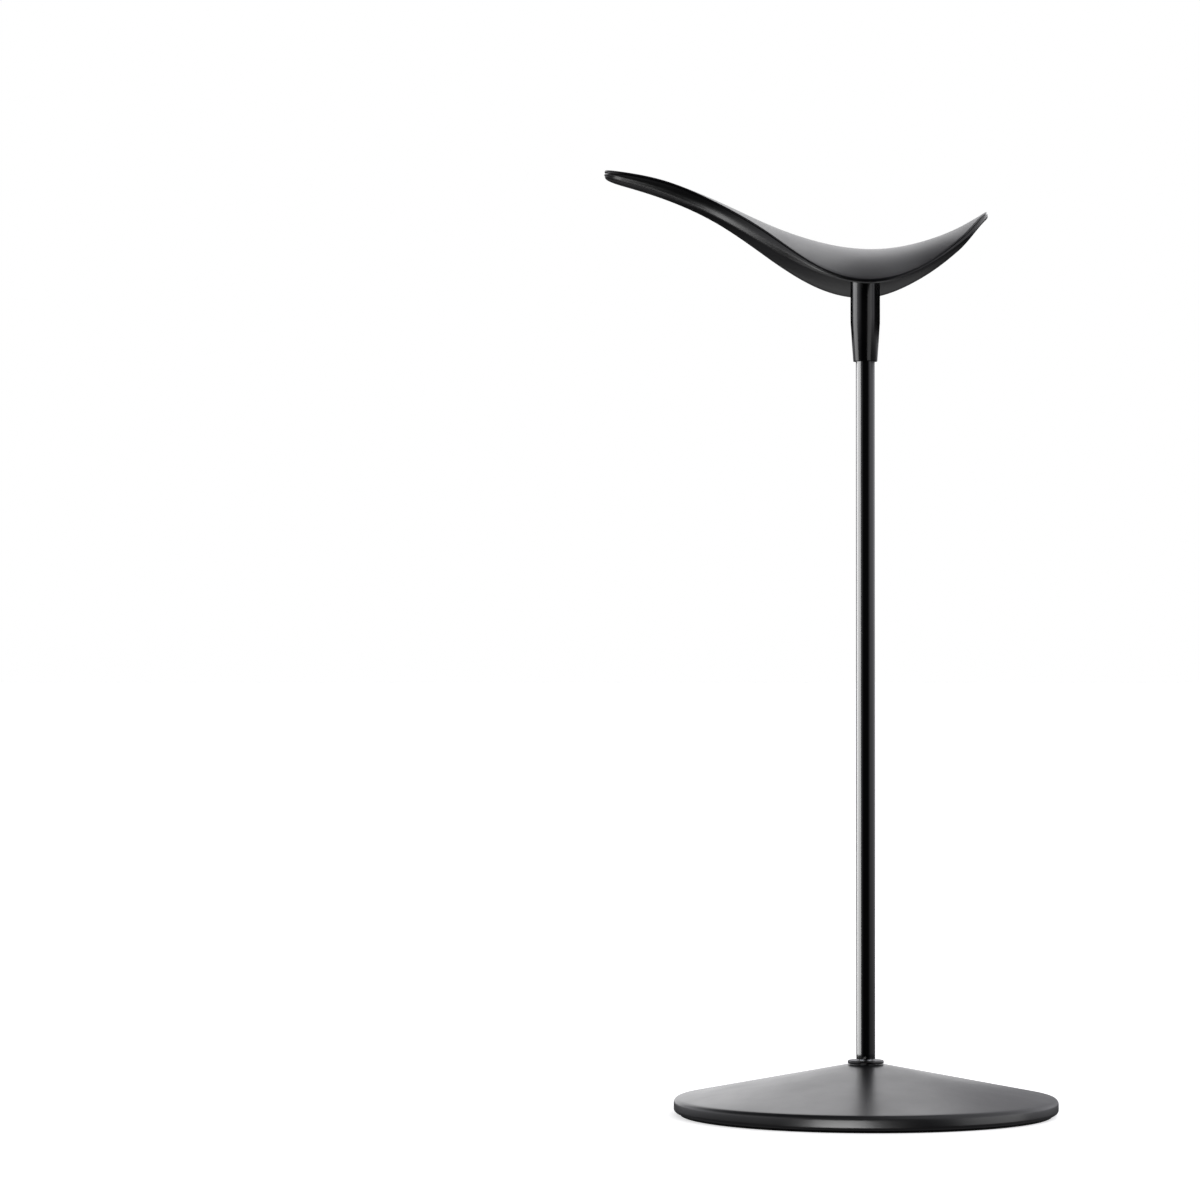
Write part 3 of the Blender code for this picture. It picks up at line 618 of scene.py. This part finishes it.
def make_neck():
    """Make the sleeve: rounded skirt edge, taper, soft shoulder, fillet and flange."""
    taper = math.degrees(math.atan2(NECK_RADIUS - NECK_BOTTOM_RADIUS, NECK_SHOULDER - NECK_BOTTOM))
    rim = FLANGE_RADIUS - FLANGE_ROUND
    skirt = NECK_BOTTOM_RADIUS - NECK_LIP
    profile = [(POLE_UPPER_HOLE, FLANGE_TOP)]
    profile += arc(rim, FLANGE_TOP - FLANGE_ROUND, FLANGE_ROUND, 90.0, 0.0, ROLL_STEPS)
    profile += arc(rim, FLANGE_BOTTOM + FLANGE_ROUND, FLANGE_ROUND, 0.0, -90.0, ROLL_STEPS)
    profile += arc(NECK_RADIUS + NECK_FILLET, FLANGE_BOTTOM - NECK_FILLET, NECK_FILLET, 90.0, 180.0)
    profile += upright(NECK_RADIUS, FLANGE_BOTTOM - RUN_MARGIN, NECK_SHOULDER + RUN_MARGIN, NECK_POINTS)
    profile += [(NECK_RADIUS - SHOULDER_EASE, NECK_SHOULDER)]
    profile += arc(skirt, NECK_BOTTOM + NECK_LIP, NECK_LIP, -taper, -90.0, ROLL_STEPS)
    profile += [(NECK_SKIRT_BORE, NECK_BOTTOM), (NECK_SKIRT_BORE, NECK_BORE_BOTTOM)]
    profile += [(NECK_BORE, NECK_BORE_BOTTOM), (NECK_BORE, NECK_WEB_BOTTOM)]
    profile += [(POLE_UPPER_HOLE, NECK_WEB_BOTTOM)]
    add_piece("neck_socket", lathe(profile, NECK_STEPS), "neck_sleeve")


# Saddle


def natural_spline(xs, values):
    """Return the smooth curve through the stations, straight past both ends."""
    count = len(xs)
    steps = np.diff(xs)
    slopes = np.diff(values) / steps
    system = np.eye(count)
    target = np.zeros(count)
    for index in range(1, count - 1):
        system[index, index - 1] = steps[index - 1]
        system[index, index] = 2.0 * (steps[index - 1] + steps[index])
        system[index, index + 1] = steps[index]
        target[index] = 6.0 * (slopes[index] - slopes[index - 1])
    bends = np.linalg.solve(system, target)

    def curve(x):
        index = int(np.clip(np.searchsorted(xs, x) - 1, 0, count - 2))
        width = steps[index]
        left = (xs[index + 1] - x) / width
        right = 1.0 - left
        bend = (left**3 - left) * bends[index] + (right**3 - right) * bends[index + 1]
        return left * values[index] + right * values[index + 1] + bend * width**2 / 6.0

    return curve


STATION_COLUMNS = np.array(SADDLE_STATIONS).T
LONG_TIP = STATION_COLUMNS[0][0]
SHORT_TIP = STATION_COLUMNS[0][-1]
CREST = natural_spline(STATION_COLUMNS[0], STATION_COLUMNS[1])
RIM = natural_spline(STATION_COLUMNS[0], STATION_COLUMNS[2])
FULL_HALF_WIDTH = natural_spline(STATION_COLUMNS[0], STATION_COLUMNS[3])
DEPTH = natural_spline(STATION_COLUMNS[0], STATION_COLUMNS[4])


def tip_rounding(distance, length, power):
    """Return how much of the full width is left at a distance from a rounded tip."""
    if distance >= length:
        return 1.0
    reach = 1.0 - max(distance, 0.0) / length
    return (1.0 - reach**power) ** (1.0 / power)


def half_width(x):
    """Return the saddle's half width, rounded off at both tips."""
    long_end = tip_rounding(x - LONG_TIP, LONG_TIP_ROUND, LONG_TIP_POWER)
    short_end = tip_rounding(SHORT_TIP - x, SHORT_TIP_ROUND, SHORT_TIP_POWER)
    return FULL_HALF_WIDTH(x) * long_end * short_end


def saddle_top(x, y):
    """Return the height of the saddle's upper face, which droops to both sides of its crest."""
    across = y / FULL_HALF_WIDTH(x)
    return CREST(x) - (CREST(x) - RIM(x)) * across**2


def saddle_outline():
    """Return the plan outline as a ring of (x, y): along +Y from the long tip, back along -Y."""
    turns = np.linspace(0.0, math.pi, SADDLE_LENGTHWISE + 1)
    middle = 0.5 * (LONG_TIP + SHORT_TIP)
    reach = 0.5 * (SHORT_TIP - LONG_TIP)
    places = [middle - reach * math.cos(turn) for turn in turns]
    side = [(x, half_width(x)) for x in places[1:-1]]
    mirrored = [(x, -y) for x, y in reversed(side)]
    return [(places[0], 0.0)] + side + [(places[-1], 0.0)] + mirrored


def outward_normals(ring):
    """Return the plan normal at each point of an outline that runs clockwise."""
    normals = []
    for index in range(len(ring)):
        before = ring[index - 1]
        after = ring[(index + 1) % len(ring)]
        along_x = after[0] - before[0]
        along_y = after[1] - before[1]
        length = math.hypot(along_x, along_y)
        normals.append((-along_y / length, along_x / length))
    return normals


def edge_ring(outline, normals, layer, side, angle):
    """Return one ring of a layer's rounded edge, square to the saddle's upper face.

    A side of 1 is the upper corner and -1 the lower one, each at an angle round its arc. Between
    the corners the angle isn't used, and the edge swells by the layer's swell.
    """
    upper, lower_depth, corners, swell = layer
    ring = []
    for (x, y), (normal_x, normal_y) in zip(outline, normals):
        rise_inward = saddle_top(x - EDGE_INSET * normal_x, y - EDGE_INSET * normal_y) - saddle_top(x, y)
        slope = rise_inward / EDGE_INSET
        cosine = 1.0 / math.hypot(1.0, slope)
        sine = slope * cosine
        bottom = lower_depth(x)
        middle = 0.5 * (upper + bottom)
        half = 0.5 * (bottom - upper) * cosine
        upper_corner = min(corners[0], half)
        lower_corner = min(corners[1], 2.0 * half - upper_corner - EDGE_FLAT)
        if abs(side) == 1:
            corner = upper_corner if side > 0 else lower_corner
            rise = side * (half - corner) + corner * math.sin(angle)
            bulge = EDGE_INSET - swell - corner + corner * math.cos(angle)
        else:
            ends = (half - upper_corner, lower_corner - half)
            rise = 0.5 * (ends[0] + ends[1]) + 0.5 * side * (ends[0] - ends[1])
            bulge = EDGE_INSET - swell * side**2
        inward = middle * cosine * sine + EDGE_INSET
        centre_x = x - inward * normal_x
        centre_y = y - inward * normal_y
        outward = bulge * cosine + rise * sine
        height = saddle_top(centre_x, centre_y) - middle - bulge * sine + rise * cosine
        ring.append((centre_x + outward * normal_x, centre_y + outward * normal_y, height))
    return ring


def inner_ring(outline, normals, inset, depth):
    """Return a ring that runs inside the outline, at a depth under the saddle's upper face."""
    ring = []
    for (x, y), (normal_x, normal_y) in zip(outline, normals):
        inner_x = x - inset * normal_x
        inner_y = y - inset * normal_y
        ring.append((inner_x, inner_y, saddle_top(inner_x, inner_y) - depth))
    return ring


def fill_across(builder, ring, depth):
    """Close a ring with lines of vertices across the saddle, at a depth under its upper face."""
    half = len(ring) // 2
    lines = []
    for index in range(1, half):
        near = ring[index]
        far = ring[-index]
        line = [near]
        for step in range(1, SADDLE_CROSSWISE):
            share = step / SADDLE_CROSSWISE
            x = near.co.x
            y = near.co.y + (far.co.y - near.co.y) * share
            line.append(builder.verts.new((x, y, saddle_top(x, y) - depth(x))))
        line.append(far)
        lines.append(line)
    for first, second in zip(lines, lines[1:]):
        for step in range(SADDLE_CROSSWISE):
            builder.faces.new((first[step], first[step + 1], second[step + 1], second[step]))
    for tip, line in ((ring[0], lines[0]), (ring[half], lines[-1])):
        for step in range(SADDLE_CROSSWISE):
            builder.faces.new((tip, line[step], line[step + 1]))


def saddle_layer(upper, lower_depth, corners, swell=0.0, land=None):
    """Return one layer of the saddle, between two depths under the saddle's upper face.

    A land depth lifts the layer's upper face inside a groove that runs round its edge.
    """
    builder = bmesh.new()
    outline = saddle_outline()
    normals = outward_normals(outline)
    turns = np.linspace(0.0, 0.5 * math.pi, CORNER_STEPS + 1)
    places = [(1, angle) for angle in turns[::-1]]
    if swell > 0.0:
        places += [(side, 0.0) for side in np.linspace(1.0, -1.0, SIDE_STEPS + 1)[1:-1]]
    places += [(-1, -angle) for angle in turns]
    layer = (upper, lower_depth, corners, swell)
    rings = [edge_ring(outline, normals, layer, side, angle) for side, angle in places]
    top = upper
    if land is not None:
        top = land
        rings.insert(0, inner_ring(outline, normals, GROOVE_WIDTH, upper))
        rings.insert(0, inner_ring(outline, normals, GROOVE_WIDTH, land))
    rings = [[builder.verts.new(point) for point in ring] for ring in rings]
    for first, second in zip(rings, rings[1:]):
        bridge(builder, first, second)
    fill_across(builder, rings[0], lambda x: top)
    fill_across(builder, rings[-1], lower_depth)
    return builder


def add_boss(builder):
    """Add the shell's round boss, whose top follows the shell just under its upper face."""
    bottom = FLANGE_TOP + BOSS_SEAM
    top_radii = np.linspace(0.0, BOSS_RADIUS, BOSS_POINTS)
    profile = [(radius, bottom + BOSS_RISE) for radius in top_radii]
    profile += arc(BOSS_RADIUS - BOSS_ROUND, bottom + BOSS_ROUND, BOSS_ROUND, 0.0, -90.0, EDGE_STEPS)
    profile += [(0.0, bottom)]
    boss = lathe(profile, BOSS_STEPS)
    sunk = PAD_DEPTH + PARTING_GAP + BOSS_SKIN
    for vert in boss.verts:
        if vert.co.z > bottom + 0.5 * BOSS_RISE:
            vert.co.z = saddle_top(vert.co.x, vert.co.y) - sunk
    mesh = bpy.data.meshes.new("boss")
    boss.to_mesh(mesh)
    boss.free()
    builder.from_mesh(mesh)
    bpy.data.meshes.remove(mesh)


def make_saddle():
    """Make the rigid shell and the soft skin over it."""
    groove = PAD_DEPTH + PARTING_GAP
    shell = saddle_layer(groove, DEPTH, SHELL_CORNERS, SIDE_SWELL, groove - GROOVE_FLOOR_RISE)
    add_boss(shell)
    add_piece("saddle_core", shell, "saddle_shell", SADDLE_SHARP_DEGREES)
    pad = saddle_layer(0.0, lambda x: PAD_DEPTH, PAD_CORNERS)
    skin = add_piece("saddle_skin", pad, "saddle_pad", SADDLE_SHARP_DEGREES)


# Studio


def make_floor():
    """Make the white sweep that the stand is on."""
    bpy.ops.mesh.primitive_plane_add(size=FLOOR_SIZE)
    floor = bpy.context.object
    floor.name = "studio_floor"
    shader = Shader("white_floor")
    shader.set(Roughness=0.6, Specular_IOR_Level=0.2)
    shader.set(Emission_Color=(1.0, 1.0, 1.0, 1.0), Emission_Strength=FLOOR_GLOW)
    shader.colour(shader.mix(shader.noise(3.0), *FLOOR_COLOURS))
    floor.data.materials.append(shader.material)
    floor.visible_glossy = False
    floor.visible_diffuse = False
    floor.visible_shadow = False


def surround_ramp(nodes, links, sight, axis, stops):
    """Return the factor of a sight line from the stops along an axis."""
    along = nodes.new("ShaderNodeVectorMath")
    along.operation = "DOT_PRODUCT"
    links.new(sight, along.inputs[0])
    along.inputs[1].default_value = axis
    remap = nodes.new("ShaderNodeMapRange")
    remap.inputs["From Min"].default_value = -1.0
    links.new(along.outputs["Value"], remap.inputs["Value"])
    ramp = nodes.new("ShaderNodeValToRGB")
    links.new(remap.outputs["Result"], ramp.inputs["Fac"])
    elements = ramp.color_ramp.elements
    while len(elements) < len(stops):
        elements.new(0.5)
    for element, (position, factor) in zip(elements, stops):
        element.position = position
        element.color = (factor, factor, factor, 1.0)
    return ramp.outputs["Color"]


def make_world():
    """Surround the stand: white to look at, and shaded like a studio where it is reflected."""
    world = bpy.data.worlds.new("white_surround")
    bpy.context.scene.world = world
    world.use_nodes = True
    nodes = world.node_tree.nodes
    links = world.node_tree.links
    sight = nodes.new("ShaderNodeTexCoord").outputs["Generated"]
    tint = nodes.new("ShaderNodeRGB")
    tint.outputs["Color"].default_value = (*SURROUND_TINT, 1.0)
    shaded = tint.outputs["Color"]
    for axis, stops in SURROUND:
        product = nodes.new("ShaderNodeVectorMath")
        product.operation = "MULTIPLY"
        links.new(shaded, product.inputs[0])
        links.new(surround_ramp(nodes, links, sight, axis, stops), product.inputs[1])
        shaded = product.outputs["Vector"]
    seen = nodes.new("ShaderNodeLightPath")
    plain = nodes.new("ShaderNodeVectorMath")
    plain.operation = "MAXIMUM"
    links.new(seen.outputs["Is Camera Ray"], plain.inputs[0])
    links.new(shaded, plain.inputs[1])
    links.new(plain.outputs["Vector"], nodes["Background"].inputs["Color"])


def add_softbox(name, place, target, size, radiance):
    """Hang a rectangular softbox of one radiance that faces a point."""
    width, height = size
    light = bpy.data.lights.new(name, "AREA")
    light.shape = "RECTANGLE"
    light.size = width
    light.size_y = height
    light.energy = radiance * math.pi * width * height
    box = bpy.data.objects.new(name, light)
    bpy.context.scene.collection.objects.link(box)
    box.location = place
    box.rotation_euler = (Vector(target) - Vector(place)).to_track_quat("-Z", "Y").to_euler()
    box.visible_camera = False
    return box


def add_card(name, place, target, size, radiance, pieces):
    """Hang a bright card that only shines in the gloss of some pieces."""
    card = add_softbox(name, place, target, size, radiance)
    card.visible_diffuse = False
    lit = bpy.data.collections.new(f"{name}_lights")
    for piece in pieces:
        lit.objects.link(bpy.data.objects[piece])
    card.light_linking.receiver_collection = lit


def make_lights():
    """Hang one softbox overhead for even light, and the cards that shine in the gloss."""
    overhead = add_softbox("overhead", *OVERHEAD)
    overhead.visible_glossy = False
    for name, card in CARDS.items():
        add_card(name, *card)


def make_flag():
    """Hang a black flag behind the neck, seen only in gloss, so that the neck's edges stay dark."""
    builder = bmesh.new()
    columns = []
    for angle in np.radians(np.linspace(FLAG_START, FLAG_END, FLAG_STEPS)):
        x = FLAG_RADIUS * math.sin(angle)
        y = -FLAG_RADIUS * math.cos(angle)
        columns.append([builder.verts.new((x, y, height)) for height in (FLAG_BOTTOM, FLAG_TOP)])
    for first, second in zip(columns, columns[1:]):
        builder.faces.new((first[0], second[0], second[1], first[1]))
    mesh = bpy.data.meshes.new("neck_flag")
    builder.to_mesh(mesh)
    builder.free()
    shader = Shader("black_flag")
    shader.set(Specular_IOR_Level=0.0, Roughness=1.0)
    shader.colour(shader.mix(shader.noise(50.0), *FLAG_COLOURS))
    mesh.materials.append(shader.material)
    flag = bpy.data.objects.new("neck_flag", mesh)
    bpy.context.scene.collection.objects.link(flag)
    flag.visible_camera = False
    flag.visible_diffuse = False
    flag.visible_shadow = False


def make_camera():
    """Place the long-lens camera, which looks almost level across the table."""
    camera = bpy.data.cameras.new("studio_camera")
    camera.sensor_width = CAMERA_SENSOR
    camera.lens = CAMERA_LENS
    camera.clip_end = CAMERA_REACH
    holder = bpy.data.objects.new("studio_camera", camera)
    bpy.context.scene.collection.objects.link(holder)
    across = CAMERA_DISTANCE * math.sin(CAMERA_AZIMUTH)
    back = CAMERA_DISTANCE * math.cos(CAMERA_AZIMUTH)
    holder.location = (across, -back, CAMERA_HEIGHT)
    holder.rotation_euler = (0.5 * math.pi + CAMERA_PITCH, 0.0, CAMERA_AZIMUTH + CAMERA_YAW)
    bpy.context.scene.camera = holder


dress_frame_nodes()
make_base_cover()
make_foot()
make_collar()
make_pole()
make_neck()
make_saddle()
make_floor()
make_world()
make_lights()
make_flag()
make_camera()
bpy.context.scene.view_settings.view_transform = "Standard"
